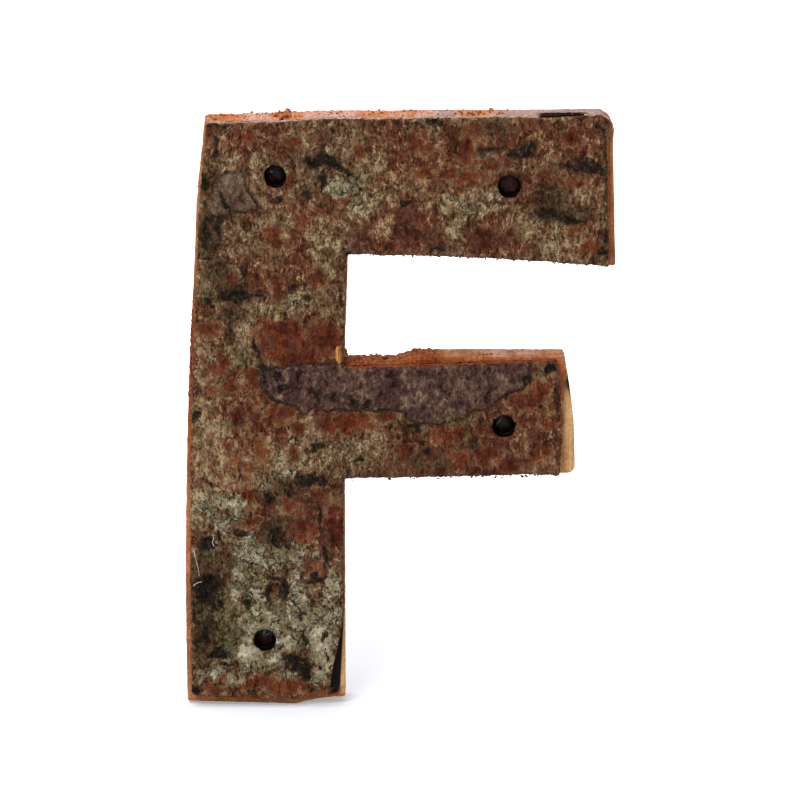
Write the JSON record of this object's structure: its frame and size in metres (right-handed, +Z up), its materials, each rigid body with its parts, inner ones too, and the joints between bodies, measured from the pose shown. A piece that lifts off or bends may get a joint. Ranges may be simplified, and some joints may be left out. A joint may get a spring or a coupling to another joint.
{
  "type": "wooden letter",
  "caption": "Rustic letter F: a sawn wooden board faced with tree bark that is glued down and nailed at the stroke ends, for fixing flat to a wall or door.",
  "frame": {"origin": "middle of the letter's outline, on the board's flat back face", "axes": "+Z up the stem, +X to the reader's right, +Y out of the back towards the wall, so the bark faces -Y"},
  "size_m": [0.0862, 0.012, 0.1206],
  "materials": {
    "board_wood": "rough sawn, uncoated",
    "glue": "dried dark wood glue, slightly glossy",
    "bark": "weathered bark with lichen, thinly lacquered",
    "nail_steel": "dark, lightly rusted"
  },
  "bodies": {
    "root": {"backing_board": "board_wood", "glue_film": "glue", "bark_face": "bark", "nail_upper_left": "nail_steel", "nail_upper_right": "nail_steel", "nail_middle_arm": "nail_steel", "nail_stem_foot": "nail_steel"}
  },
  "joints": []
}
